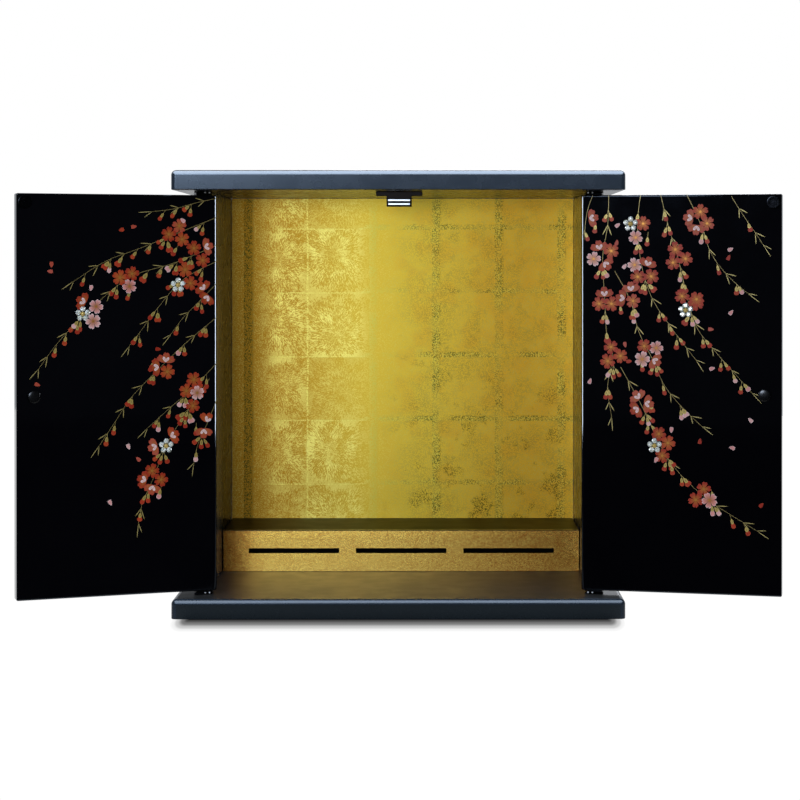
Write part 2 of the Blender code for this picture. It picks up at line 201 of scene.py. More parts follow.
softboxes = {name: addSoftbox(name, spec) for name, spec in studio.items()}

# White backdrop: the room is dark in front of the cabinet, and the backdrop behind it is bright
scene.world = bpy.data.worlds.new("white backdrop")
add = emptyTree(scene.world)
backwards = add("SeparateXYZ", add("TexCoord", out="Generated"), out="Y")
roomLight = add(smooth, backwards, roomSpec["dimFrom"], roomSpec["brightFrom"], roomSpec["dim"],
                roomSpec["bright"])
add("OutputWorld", add("MixShader", add("LightPath", out="Is Camera Ray"),
                       add("Background", roomSpec["colour"], roomLight), add("Background", "#ffffff", 1.0)))
scene.view_settings.view_transform = "Standard"

# White studio paper that glows evenly, with a painted shadow: darker near the base board, standing in for the
# short soft shadow that the board would cast
paper = bpy.data.materials.new("white studio paper")
add = emptyTree(paper)
spot = add("TexCoord", out="Object")
beside = []
for axis, half in floorSpec["baseHalf"].items():
    past = add(minus, add("Math ABSOLUTE", add("SeparateXYZ", spot, out=axis)), half)
    beside.append(add(times, add(greatest, past, 0.0), floorSpec["steepness"][axis]))
clearance = add("VectorMath LENGTH", add("CombineXYZ", *beside))
shadow = add("ValToRGB", add(times, clearance, 1 / floorSpec["reach"]))
steps = shadow.node.color_ramp
steps.interpolation = "EASE"
steps.elements.remove(steps.elements[1])
for share, grey in floorSpec["shadow"]:
    step = steps.elements.new(share) if share else steps.elements[0]
    step.color = (*grey, 1)
add("OutputMaterial", add("Emission", shadow, 1.0))
velvet = newMaterial("black studio velvet", {
    "Base Color": velvetSpec["colour"], "Roughness": 1.0, "Specular IOR Level": 0.0})[0]


def addStageSheet(name, spec, material):
    bm = bmesh.new()
    bmesh.ops.create_grid(bm, x_segments=1, y_segments=1, size=1.0)
    depth = spec["back"] - spec["front"]
    bmesh.ops.scale(bm, vec=(spec["halfWidth"], depth / 2, 1), verts=bm.verts)
    bmesh.ops.translate(bm, vec=(0, spec["front"] + depth / 2, spec["height"]), verts=bm.verts)
    mesh = bpy.data.meshes.new(name)
    bm.to_mesh(mesh)
    bm.free()
    mesh.materials.append(material)
    sheet = bpy.data.objects.new(name, mesh)
    scene.collection.objects.link(sheet)
    return sheet


addStageSheet("studio_floor", floorSpec, paper)
# black velvet on the floor in front, which only reflections see: it keeps the doors black
frontVelvet = addStageSheet("front_velvet", velvetSpec, velvet)
frontVelvet.visible_camera = False
frontVelvet.visible_shadow = False
print("camera and studio ready")


# Materials. Scales are per metre and come from real sizes in millimetres.
def perMetre(sizeInMillimetres):
    return 1.0 / (sizeInMillimetres * millimetre)


def blackLacquer(name, colours, roughness, spread, peel, specular=0.5):
    # sprayed urethane lacquer: a deep black body under a clear film with a faint orange peel
    material, shader, add = newMaterial(name, {
        "IOR": 1.5, "Specular Tint": "#d6e6f6", "Specular IOR Level": specular})
    place = add("TexCoord", out="Object")
    speck = add(smooth, add(noise, place, perMetre(1.6), 0.0), 0.72, 0.8)
    shade = add(blend, add(noise, place, perMetre(60.0)), colours[0], colours[1])
    plug(shader, {
        "Base Color": add(blend, add(times, speck, 0.25), shade, colours[2]),
        "Roughness": add(smooth, add(noise, place, perMetre(22.0), 3.0), 0.3, 0.7, roughness - spread,
                         roughness + spread),
        "Normal": add("Bump", Height=add(noise, place, perMetre(2.4), 1.0), Distance=peel * millimetre)})
    return material


lacquerColours = {
    "satin": ("#060a0f", "#080c11", "#14181e"), "handled": ("#060809", "#070a0c", "#101316"),
    "dull": ("#080808", "#0a0a0a", "#121213"), "polished": ("#010102", "#020203", "#050506"),
}
# satin urethane lacquer on board: slate sheen, blurred reflections, peel of about 2 mm
satinLacquer = blackLacquer("satin black urethane lacquer", lacquerColours["satin"], 0.27, 0.015, 0.0002)
# the same lacquer on the base board, dulled by handling
handledLacquer = blackLacquer("handled black urethane lacquer", lacquerColours["handled"], 0.27, 0.015,
                              0.0002, 0.16)
# and on the rounding above those faces, which keeps a little more of its sheen
easedLacquer = blackLacquer("eased black urethane lacquer", lacquerColours["satin"], 0.27, 0.015, 0.0002, 0.2)
# rubbed-down urethane lacquer on the dais: duller, so that it mirrors less of the gold
dullLacquer = blackLacquer("rubbed black urethane lacquer", lacquerColours["dull"], 0.42, 0.02, 0.0001, 0.1)
# and on the cabinet's floor, which is duller still
floorLacquer = blackLacquer("worn black urethane lacquer", lacquerColours["dull"], 0.42, 0.02, 0.0001, 0.03)
# polished urethane lacquer on the doors: nearly black, sharp and dim reflections
glossLacquer = blackLacquer("polished black urethane lacquer", lacquerColours["polished"], 0.06, 0.01, 0.0005)

goldLeafSpec = {
    "pitchX": 70.8, "pitchZ": 72.0,      # millimetres between the seams of the leaf squares
    "seamX": -178.0, "seamZ": 103.0,     # a seam's place on the panel
    "overlapX": 8.5, "overlapZ": 5.5,    # how far one square laps over the next
    "wander": 1.2,                       # how far a hand-laid edge strays
    "wanderSize": 25.0, "patch": 34.0, "clump": 15.0, "cluster": 26.0, "scatter": 28.0, "blush": 24.0,
    "grain": 1.5, "fineGrain": 0.9,      # leaf grain, drawn as coarse as it needs to show
    "rowShift": 2.0,                     # which row's luck each row draws
    "leafFrom": 0.0625,                  # the board is left black below the dais, in metres
    "strokes": 9.5, "strokeLength": 5.2, "strokeScale": 4.0,
    # the two darker golds for the panel's ends are painted shade
    "gold": "#c6ae3b", "rightShadedGold": "#c09a2e", "shadedGold": "#9c7520", "paleGold": "#e6e27c",
    "seamGold": "#bcbd58", "wornGreen": "#2f3a14", "orangeGold": "#c08c28", "bare": "#040404",
}


def goldLeaf(spec):
    # imitation gold leaf in squares on a sized board: lapped seams, brushed starbursts drawn pale as painted
    # glints, painted shade at both ends, worn green specks
    material, shader, add = newMaterial("gold leaf squares on sized board", {"Specular IOR Level": 0.1})
    place = add("TexCoord", out="Object")
    stray = add(noise, place, perMetre(spec["wanderSize"]), 3.0, out="Color")
    shifted = add("VectorMath MULTIPLY_ADD", stray, (2 * spec["wander"] * millimetre,) * 3, place)
    # squares across and up the panel, counted from the chosen seam
    across = add(timesPlus, add("SeparateXYZ", shifted), perMetre(spec["pitchX"]),
                 -spec["seamX"] / spec["pitchX"])
    up = add(timesPlus, add("SeparateXYZ", shifted, out="Z"), perMetre(spec["pitchZ"]),
             -spec["seamZ"] / spec["pitchZ"])
    inColumn = add("Math FRACT", across)
    inRow = add("Math FRACT", up)
    square = add("CombineXYZ", add("Math FLOOR", across), add(minus, add("Math FLOOR", up), spec["rowShift"]))
    luck = add("TexWhiteNoise 3D", square)
    fine = add(noise, place, perMetre(spec["grain"]), 1.0)
    finest = add(noise, place, perMetre(spec["fineGrain"]), 0.0)
    patch = add(noise, place, perMetre(spec["patch"]))

    # starbursts of wrinkled leaf from a point in each square, strongest in the two left-hand columns, where
    # they are painted pale as glints from the light
    burstPoint = add("VectorMath MULTIPLY_ADD", luck.node.outputs["Color"], (0.3, 0.3, 0.0),
                     (-0.65, -0.65, 0.0))
    spoke = add("VectorMath ADD", add("CombineXYZ", inColumn, inRow), burstPoint)
    distance = add("VectorMath LENGTH", spoke)
    depth = add("CombineXYZ", Z=add(timesPlus, distance, spec["strokeLength"], luck))
    rays = add("VectorMath MULTIPLY_ADD", add("VectorMath NORMALIZE", spoke),
               (spec["strokes"], spec["strokes"], 0.0), depth)
    stroke = add(noise, rays, spec["strokeScale"], 2.0, 0.6)
    clump = add(noise, place, perMetre(spec["clump"]), 2.0, 0.6)
    toSide = add("Math MINIMUM", add("Math PINGPONG", across, 0.5), add("Math PINGPONG", up, 0.5))
    # strokes crowd together along the seams and thin out elsewhere
    crowd = add(times, add(smooth, toSide, 0.0, 0.16, 0.2, 0.0), add(smooth, patch, 0.44, 0.58))
    feather = add(timesPlus, fine, 0.2, add(timesPlus, clump, 0.5, -0.36))
    leftSide = add(smooth, across, 1.75, 2.1, 1.0, 0.0)
    burst = add(times, add(smooth, add(plus, stroke, crowd, feather), 0.5, 0.57),
                add(smooth, distance, 0.3, 0.6, 1.0, 0.5), leftSide, add(smooth, luck, 0.0, 0.6, 0.5, 1.0))

    # lapped seams, broken along their length; the laps are narrow in the two left-hand columns
    lapX = spec["overlapX"] / spec["pitchX"]
    lapZ = spec["overlapZ"] / spec["pitchZ"]
    narrow = add(smooth, across, 1.8, 1.95, 4.5, 1.0)
    lap = add(smooth, inColumn, lapX * 0.95, lapX * 1.5, 1.0, 0.0)
    upright = add(smooth, add(times, inColumn, narrow), lapX * 0.8, lapX * 1.15, 1.0, 0.0)
    level = add(smooth, add(times, inRow, narrow), lapZ * 0.7, lapZ * 1.2, 1.0, 0.0)
    seam = add(greatest, upright, level)

    # the ground, with painted shade: darker and warmer at the left where the side wall shades the leaf, plain
    # gold in the middle, and darker and warmer again at the right where the light falls off
    ground = add(blend, add(smooth, across, 0.3, 2.3), spec["shadedGold"], spec["gold"])
    ground = add(blend, add(smooth, across, 2.6, 4.6), ground, spec["rightShadedGold"])
    ground = add(blend, add(times, add(smooth, finest, 0.5, 0.7), 0.28), ground, spec["paleGold"])
    ground = add(blend, add(smooth, fine, 0.3, 0.45, 0.1, 0.0), ground, spec["orangeGold"])
    paleSeam = add(times, seam, add(smooth, patch, 0.3, 0.6), add(smooth, across, 2.9, 3.4, 0.6, 0.42),
                   add(smooth, fine, 0.42, 0.56, 0.1, 1.0), add(smooth, across, 0.2, 0.6))
    ground = add(blend, paleSeam, ground, spec["seamGold"])
    # painted glints: the starbursts and the seams in the left-hand columns drawn pale where the leaf catches
    # the light
    seamGlint = add(times, seam, leftSide, add(smooth, fine, 0.38, 0.56), add(smooth, across, 0.25, 0.7))
    wrinkleAndSeamGlint = add(greatest, add(times, burst, add(smooth, across, 0.15, 0.6)), add(times, seamGlint, 0.8))
    ground = add(blend, add(times, wrinkleAndSeamGlint, 0.8), ground, spec["paleGold"])

    # green specks: along the seams at the left edge and at the right, and in clusters at the lower right
    rightSide = add(smooth, across, 1.8, 3.1)
    leftEdge = add(smooth, across, 0.12, 0.3, 1.0, 0.0)
    cluster = add(times, add(smooth, add(noise, place, perMetre(spec["cluster"]), 3.0, 0.6), 0.48, 0.64),
                  add(smooth, up, -1.0, 4.2, 1.0, 0.35))
    wideSeam = add(times, add(greatest, lap, add(smooth, inRow, lapZ * 0.9, lapZ * 1.5, 1.0, 0.0)),
                   add(smooth, patch, 0.35, 0.6, 0.35, 0.9))
    scattered = add(smooth, add(noise, place, perMetre(spec["scatter"])), 0.38, 0.62, 0.25, 0.5)
    specks = add(greatest, add(times, add(greatest, cluster, wideSeam, scattered), rightSide),
                 add(times, lap, leftEdge))
    specks = add(times, specks, add(smooth, finest, 0.46, 0.6), 0.9)
    blush = add(smooth, add(noise, place, perMetre(spec["blush"]), 1.0), 0.45, 0.7, 0.0, 0.28)
    ground = add(blend, add(times, blush, rightSide), ground, spec["orangeGold"])
    ground = add(blend, specks, ground, spec["wornGreen"])
    leafed = add(smooth, add("SeparateXYZ", place, out="Z"), spec["leafFrom"], spec["leafFrom"] + 0.0005)
    plug(shader, {
        "Base Color": add(blend, leafed, spec["bare"], ground),
        "Metallic": leafed,
        "Roughness": add(smooth, fine, 0.3, 0.7, 0.435, 0.455),
        "Normal": add("Bump", Height=add(timesPlus, seam, 0.6, fine), Distance=0.004 * millimetre)})
    return material


goldLeafMaterial = goldLeaf(goldLeafSpec)

powderSpec = {
    "grain": 0.9, "cloud": 9.0, "bright": "#ffe074", "dark": "#bd701f", "edge": "#0b0b0d",
    "blackFrom": 0.0632,         # metres: the board's upper edge is left black
}


def sprinkledGold(spec):
    # gold powder sprinkled on wet lacquer over an orange ground: a glittering grain, with painted shade
    # towards both ends
    material, shader, add = newMaterial("sprinkled gold powder under lacquer", {})
    place = add("TexCoord", out="Object")
    tone = add("SeparateXYZ", add("TexVoronoi", place, perMetre(spec["grain"]), out="Color"))
    cloud = add(noise, place, perMetre(spec["cloud"]), 3.0)
    # painted shade: less powder and more dark ground towards both ends, for the side wall's shadow at the
    # left end and the light falling off towards the right
    x = add("SeparateXYZ", place)
    endShade = add(greatest, add(smooth, x, -0.04, 0.18, 0.0, 0.38), add(smooth, x, -0.19, -0.14, 0.55, 0.0))
    share = add(timesPlus, tone, 0.65, add(timesPlus, cloud, 0.35, add(minus, 0.25, endShade)))
    black = add(smooth, add("SeparateXYZ", place, out="Z"), spec["blackFrom"], spec["blackFrom"] + 0.0002)
    metal = add(smooth, share, 0.1, 0.8, 0.85, 1.0)
    plug(shader, {
        "Base Color": add(blend, black, add(blend, share, spec["dark"], spec["bright"]), spec["edge"]),
        "Metallic": add(times, metal, add(smooth, black, 0.0, 1.0, 1.0, 0.0)),
        "Roughness": add(smooth, tone, 0.0, 1.0, 0.22, 0.24),
        "Normal": add("Bump", Height=tone, Distance=0.0015 * millimetre)})
    return material


goldPowder = sprinkledGold(powderSpec)


def grainedSolid(name, colours, grain, sockets, roughness, bump):
    # a solid whose colour and gloss vary slightly over grains of the given size
    material, shader, add = newMaterial(name, sockets)
    grains = add(noise, add("TexCoord", out="Object"), perMetre(grain))
    plug(shader, {
        "Base Color": add(blend, grains, *colours),
        "Roughness": add(smooth, grains, 0.3, 0.7, *roughness),
        "Normal": add("Bump", Height=grains, Distance=bump * millimetre)})
    return material


# moulded ABS in dark purple-brown: an even fine spark texture and a dull sheen
brownPlastic = grainedSolid("moulded dark brown ABS", ("#0d080d", "#150e15"), 0.6,
                            {"Specular IOR Level": 0.1}, (0.38, 0.48), 0.002)
# nickel-plated steel: bright, slightly blue and finely drawn
nickelSteel = grainedSolid("nickel-plated steel", ("#a9b4c0", "#c6ced8"), 0.5,
                           {"Metallic": 1.0}, (0.34, 0.42), 0.002)
# zinc-plated rivet steel: pale grey and slightly dull; its paleness is a painted highlight for the glints on
# the hinge pins' edges
glintRivetSteel = grainedSolid("zinc-plated rivet steel", ("#c9ced4", "#e2e6ea"), 0.4,
                          {"Metallic": 0.45}, (0.4, 0.5), 0.001)
# ground ferrite: a dull dark grey ceramic
ferrite = grainedSolid("ground ferrite", ("#0c0c0e", "#161618"), 0.4,
                       {"Specular IOR Level": 0.2}, (0.5, 0.65), 0.002)
# black-plated steel: dark metal with a soft bright rim where it turns to the light
blackSteel = grainedSolid("black-plated steel", ("#0b0c0f", "#101216"), 2.5,
                          {"Metallic": 0.9}, (0.2, 0.26), 0.0006)
# moulded black ABS, polished mould: smooth with a clear highlight
blackPlastic = grainedSolid("polished black ABS", ("#030304", "#050506"), 2.5,
                            {"IOR": 1.5}, (0.24, 0.28), 0.0006)

nodeFinishes = {
    satinLacquer: ["side_panel_left", "side_panel_right", "back_panel"],
    dullLacquer: ["dais_top", "dais_side_left", "dais_side_right"],
    goldLeafMaterial: ["gold_panel"],
    goldPowder: ["dais_front"],
    brownPlastic: ["catch_housing"],
    ferrite: ["catch_magnet"],
}
for finish, nodeNames in nodeFinishes.items():
    for nodeName in nodeNames:
        frame["nodes"][nodeName].material_slots[0].material = finish
print("materials ready")


def boxBetween(low, high):
    bm = bmesh.new()
    bmesh.ops.create_cube(bm, size=1.0)
    bmesh.ops.scale(bm, vec=high - low, verts=bm.verts)
    bmesh.ops.translate(bm, vec=(low + high) / 2, verts=bm.verts)
    return bm


def roundEdges(bm, edges, offset, segments):
    bmesh.ops.bevel(bm, geom=list(edges), offset=offset, offset_type="OFFSET", segments=segments, profile=0.5,
                    affect="EDGES", material=-1, clamp_overlap=True)


# Top and base boards: their CAD form with finer rounding
boardSpec = {"round": 0.005, "roundSegments": 10, "ease": 0.0008, "easeSegments": 3}


def roundedBoard(low, high, spec):
    bm = boxBetween(low, high)
    middle = (low.z + high.z) / 2
    wide = [e for e in bm.edges if max(v.co.z for v in e.verts) > middle]
    roundEdges(bm, wide, spec["round"], spec["roundSegments"])
    under = min(bm.faces, key=lambda face: face.calc_center_median().z)
    roundEdges(bm, under.edges, spec["ease"], spec["easeSegments"])
    return bm


boardFinishes = {"base_board": easedLacquer, "top_board": satinLacquer}
lacqueredBoards = []
for boardName, boardFinish in boardFinishes.items():
    low, high = (Vector(corner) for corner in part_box(boardName))
    lacqueredBoards.append(addPiece(roundedBoard(low, high, boardSpec), boardName + "_lacquered", boardFinish,
                                    "cabinet", [boardName], weighted=True))
# the base board's upper face is the cabinet's worn floor, and its upright faces are dulled by handling
baseMesh = lacqueredBoards[0].data
baseMesh.materials.append(floorLacquer)
baseMesh.materials.append(handledLacquer)
for face in baseMesh.polygons:
    if face.normal.z > 0.99 and face.area > 0.05:            # square metres: the whole upper face
        face.material_index = 1
    elif abs(face.normal.z) < 0.01 and face.area > 0.002:    # the four upright faces, without the corners
        face.material_index = 2
print("boards made")

# Magnet catch: two nickel-plated steel plates with eased edges, the ferrite magnet between them
plateSpec = {"height": 0.0018, "sideGap": 0.0005, "ease": 0.0002, "segments": 2}
catchPlates = []
for word in ("upper", "lower"):
    nodeName = "catch_plate_" + word
    low, high = (Vector(corner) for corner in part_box(nodeName))
    low.x += plateSpec["sideGap"]
    high.x -= plateSpec["sideGap"]
    high.z = low.z + plateSpec["height"]
    bm = boxBetween(low, high)
    roundEdges(bm, bm.edges, plateSpec["ease"], plateSpec["segments"])
    catchPlates.append(addPiece(bm, nodeName + "_plated", nickelSteel, "cabinet", [nodeName],
                                weighted=True))
print("catch plates made")


def mergedCopy(nodeName):
    # a CAD node's mesh as clean flat faces, so that its edges can be rounded and its normals smoothed
    bm = bmesh.new()
    bm.from_mesh(frame["nodes"][nodeName].data)
    bmesh.ops.remove_doubles(bm, verts=bm.verts, dist=0.000005)
    bmesh.ops.dissolve_limit(bm, angle_limit=math.radians(1.0), verts=bm.verts, edges=bm.edges)
    bmesh.ops.recalc_face_normals(bm, faces=bm.faces)
    return bm


# Hinge leaves: stamped steel with tumbled edges
leafSpec = {"edge": 0.0004, "segments": 3, "sharpFrom": 40}
sharpAngle = math.radians(leafSpec["sharpFrom"])
for nodeName in [n for n in frame["nodes"] if n.startswith("hinge_leaf")]:
    bm = mergedCopy(nodeName)
    sharp = [e for e in bm.edges if e.is_manifold and e.calc_face_angle() > sharpAngle]
    roundEdges(bm, sharp, leafSpec["edge"], leafSpec["segments"])
    leafBody = "cabinet" if "cabinet" in nodeName else "left_door" if "left" in nodeName else "right_door"
    addPiece(bm, nodeName + "_plated", blackSteel, leafBody, [nodeName], weighted=True)

# Two pale rivet heads on the rounded end of each cabinet leaf, where the hinge pin's edges glint: a painted
# highlight for those glints
rivetGlintSpec = {"radius": 0.0009, "spacing": 0.0043, "steps": 12, "rings": 8, "inset": 0.0016}
rivetGlints = []
for nodeName in [n for n in frame["nodes"] if n.startswith("hinge_leaf_cabinet")]:
    low, high = (Vector(corner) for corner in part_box(nodeName))
    word = nodeName.split("_")[3]
    side = -1 if word == "left" else 1
    pivotX = next(j for j in frame["joints"] if j["name"].startswith(word))["pos_m"][0]
    bm = bmesh.new()
    for step in (-0.5, 0.5):
        head = bmesh.ops.create_uvsphere(bm, u_segments=rivetGlintSpec["steps"], v_segments=rivetGlintSpec["rings"],
                                         radius=rivetGlintSpec["radius"])
        across = step * rivetGlintSpec["spacing"]
        rounding = (high.y - low.y) / 2
        depth = low.y
        if across * side < 0:
            depth += rounding - math.sqrt(rounding ** 2 - across ** 2)
        middle = high.z - rivetGlintSpec["inset"] if nodeName.endswith("top") else low.z + rivetGlintSpec["inset"]
        bmesh.ops.translate(bm, vec=(pivotX + across, depth, middle), verts=head["verts"])
    rivetGlints.append(addPiece(bm, nodeName + "_rivet_glints", glintRivetSteel, "cabinet"))
print("hinges made")


# Places on a door's inner face: x from the hinge edge, y up from the top edge, z off the face
doorSpec = {"lap": 0.0079, "thickness": 0.015, "width": 0.19942}
jointNames = {-1: "left_door_swing", 1: "right_door_swing"}
bodyNames = {-1: "left_door", 1: "right_door"}
sideWords = {-1: "left", 1: "right"}


def doorFrame(side):
    joint = next(j for j in frame["joints"] if j["name"] == jointNames[side])
    turn = math.radians(joint["range_deg"][1])
    pivot = Vector(joint["pos_m"])
    pivot.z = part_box("door_" + sideWords[side])[1][2]
    along = Vector((-side * math.cos(turn), -math.sin(turn), 0))
    outward = Vector((-side * math.sin(turn), math.cos(turn), 0))
    origin = pivot - doorSpec["lap"] * along + doorSpec["thickness"] / 2 * outward
    turned = Matrix((along, Vector((0, 0, 1)), outward)).transposed().to_4x4()
    return Matrix.Translation(origin) @ turned


doorFrames = {side: doorFrame(side) for side in (-1, 1)}
innerGap = 0.0003


def setOnDoor(bm, side, x=0.0, y=0.0, z=0.0):
    # moves a bmesh from its own place to a place on the door; a mirrored frame turns it inside out
    bmesh.ops.transform(bm, matrix=doorFrames[side] @ Matrix.Translation((x, y, z)), verts=bm.verts)
    bmesh.ops.recalc_face_normals(bm, faces=bm.faces)


# Doors: polished slabs in the CAD doors' place, with a fuller arris along the hinge edge
arrisSpec = {"hinge": 0.003, "hingeSegments": 8, "other": 0.0015, "otherSegments": 5}


def doorSlab(height):
    # in the door's own place: x from the hinge edge, y down from the top edge, z behind the inner face
    bm = boxBetween(Vector((0, -height, -doorSpec["thickness"])), Vector((doorSpec["width"], 0, 0)))
    hingeEdges = [e for e in bm.edges if max(v.co.x for v in e.verts) < 0.001
                  and abs(e.verts[0].co.y - e.verts[1].co.y) > 0.1]
    roundEdges(bm, hingeEdges, arrisSpec["hinge"], arrisSpec["hingeSegments"])
    sharp = [e for e in bm.edges if e.calc_face_angle() > math.radians(60)]
    roundEdges(bm, sharp, arrisSpec["other"], arrisSpec["otherSegments"])
    return bm


polishedDoors = []
for side in (-1, 1):
    doorName = "door_" + sideWords[side]
    lowest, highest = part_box(doorName)
    bm = doorSlab(highest[2] - lowest[2])
    setOnDoor(bm, side)
    polishedDoors.append(addPiece(bm, doorName + "_polished", glossLacquer, bodyNames[side],
                                  [doorName], weighted=True))
print("doors made")


def spun(profile, steps):
    # a profile of (radius, height) points, in millimetres, turned about the z axis
    bm = bmesh.new()
    verts = [bm.verts.new((radius * millimetre, 0, height * millimetre)) for radius, height in profile]
    edges = [bm.edges.new(pair) for pair in zip(verts, verts[1:])]
    bmesh.ops.spin(bm, geom=verts + edges, cent=(0, 0, 0), axis=(0, 0, 1), angle=math.tau, steps=steps,
                   use_merge=True)
    bmesh.ops.remove_doubles(bm, verts=bm.verts, dist=0.000002)
    bmesh.ops.recalc_face_normals(bm, faces=bm.faces)
    return bm


# Strike discs for the magnet, caps over the knobs' screws, and knobs: millimetres, but insets in metres
strikeSpec = {"radius": 6.7, "proud": 1.0, "inset": 0.0084, "steps": 64}
capSpec = {"radius": 6.0, "proud": 1.6, "inset": 0.0172, "steps": 64}
knobSpec = {"radius": 8.0, "neck": 4.5, "length": 15.0, "steps": 64}


def strikeProfile(spec):
    # a turned disc: domed centre pin, dished face, one ring groove and a rounded rim
    r = spec["radius"]
    p = spec["proud"]
    return [(0, p * 0.98), (0.5, p * 0.96), (0.9, p * 0.84), (1.1, p * 0.6), (3.3, p * 0.6), (3.8, p * 0.98),
            (4.7, p), (4.9, p * 0.78), (5.3, p * 0.78), (5.5, p), (r - 0.5, p), (r - 0.15, p * 0.85),
            (r, p * 0.5), (r, 0), (0, 0)]


def capProfile(spec):
    # a shallow dome on a short upright rim
    r = spec["radius"]
    p = spec["proud"]
    points = []
    for i in range(11):
        angle = math.radians(90 - 9 * i)
        points.append((r * math.cos(angle), p * 0.25 + p * 0.75 * math.sin(angle)))
    return points + [(r, 0), (0, 0)]


def knobProfile(spec):
    # a button head on a narrower neck with a small foot
    r = spec["radius"]
    length = spec["length"]
    head = length * 0.5
    crown = head / 2
    foot = length * 0.12
    points = [(0, length)]
    for i in range(17):
        angle = math.radians(90 - 180 * i / 16)
        points.append((r - crown + crown * math.cos(angle), length - crown + crown * math.sin(angle)))
    neck = spec["neck"]
    return points + [(neck + 0.4, length - head), (neck, length - head - 0.4), (neck, foot + 0.4),
                     (neck + 0.4, foot), (r * 0.8 - 0.3, foot), (r * 0.8, foot - 0.3), (r * 0.8, 0), (0, 0)]


for side in (-1, 1):
    word = sideWords[side]
    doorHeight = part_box("door_" + word)[1][2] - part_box("door_" + word)[0][2]
    knobX = doorSpec["width"] - capSpec["inset"]
    bm = spun(strikeProfile(strikeSpec), strikeSpec["steps"])
    setOnDoor(bm, side, doorSpec["width"] - strikeSpec["inset"], -strikeSpec["inset"], innerGap)
    addPiece(bm, "strike_%s_turned" % word, blackSteel, bodyNames[side], ["strike_" + word])
    bm = spun(capProfile(capSpec), capSpec["steps"])
    setOnDoor(bm, side, knobX, -doorHeight / 2, innerGap)
    addPiece(bm, "knob_cap_%s_moulded" % word, blackPlastic, bodyNames[side],
             ["knob_cap_" + word])
    bm = spun(knobProfile(knobSpec), knobSpec["steps"])
    bmesh.ops.rotate(bm, cent=(0, 0, 0), matrix=Matrix.Rotation(math.pi, 3, "X"), verts=bm.verts)
    setOnDoor(bm, side, knobX, -doorHeight / 2, -doorSpec["thickness"] - innerGap)
    addPiece(bm, "knob_%s_turned" % word, blackSteel, bodyNames[side], ["knob_" + word])
print("strikes, caps and knobs made")


# Materials that read a tint painted on each piece
def paintedFilm():
    # coloured lacquer laid on with a brush and dusted with gold: soft tints with fine metallic grains
    material, shader, add = newMaterial("brushed colour lacquer with gold dust", {"Specular IOR Level": 0.2})
    place = add("TexCoord", out="Object")
    dust = add(smooth, add(noise, place, perMetre(0.8), 1.0), 0.55, 0.72, 0.0, 0.2)
    plug(shader, {
        "Base Color": add(blend, dust, add("Attribute tint"), "#e0a458"),
        "Roughness": add(smooth, dust, 0.0, 0.3, 0.42, 0.3),
        "Normal": add("Bump", Height=dust, Distance=0.01 * millimetre)})
    return material


def blossomFilm():
    # the same film on the open blossoms, with gold veins and stamens drawn from the heart outwards
    material, shader, add = newMaterial("brushed colour lacquer with gold veins", {"Specular IOR Level": 0.2})
    spot = add("VectorMath SUBTRACT", add("UVMap petals"), (0.5, 0.5, 0.0))
    angle = add("Math ARCTAN2", add("SeparateXYZ", spot, out="Y"), add("SeparateXYZ", spot))
    radius = add(times, add("VectorMath LENGTH", spot), 2.0)
    wave = add("Math SINE", add(times, angle, 15.0))
    vein = add(times, add(smooth, wave, 0.55, 0.95), add(smooth, radius, 0.35, 0.75, 1.0, 0.0))
    # the petals meet in dark lines, half way between their middles
    petal = add("Math COSINE", add(times, angle, 5.0))
    between = add(times, add(smooth, petal, -0.995, -0.93, 1.0, 0.0), add(smooth, radius, 0.12, 0.2))
    heart = add(smooth, radius, 0.1, 0.24, 1.0, 0.0)
    gold = add(greatest, add(times, vein, 0.55), add(times, heart, 0.7))
    veined = add(blend, gold, add("Attribute tint"), "#d79a45")
    plug(shader, {
        "Base Color": add(blend, add(times, between, 0.85), veined, "#4a170f"),
        "Roughness": add(smooth, gold, 0.0, 0.7, 0.42, 0.3),
        "Metallic": add(smooth, gold, 0.0, 0.7, 0.0, 0.5),
        "Normal": add("Bump", Height=gold, Distance=0.02 * millimetre)})
    return material


def goldLine():
    # raised lines of gold powder: pale gold, finely grained, half metallic
    material, shader, add = newMaterial("raised gold powder line", {})
    grains = add(noise, add("TexCoord", out="Object"), perMetre(0.7), 1.0)
    plug(shader, {
        "Base Color": add(blend, add(smooth, grains, 0.35, 0.65, 0.0, 0.3), add("Attribute tint"), "#e6d08e"),
        "Metallic": add(smooth, grains, 0.3, 0.7, 0.15, 0.45),
        "Roughness": add(smooth, grains, 0.3, 0.7, 0.5, 0.34),
        "Normal": add("Bump", Height=grains, Distance=0.01 * millimetre)})
    return material


def cutGlass():
    # foil-backed cut glass with painted reflections: each facet's tint of white, green, pale blue or dark
    # grey stands in for what it mirrors, and painted glints sparkle over it
    material, shader, add = newMaterial("foil-backed cut glass", {
        "Metallic": 0.1, "Roughness": 0.1, "IOR": 1.55, "Coat Weight": 1.0, "Coat Roughness": 0.02})
    paintedGlint = add(smooth, add(noise, add("TexCoord", out="Object"), perMetre(0.9), 1.0), 0.35, 0.65, 0.0, 0.3)
    plug(shader, {"Base Color": add(blend, paintedGlint, add("Attribute tint"), "#ffffff")})
    return material


filmMaterial = paintedFilm()
blossomMaterial = blossomFilm()
goldLineMaterial = goldLine()
glassMaterial = cutGlass()

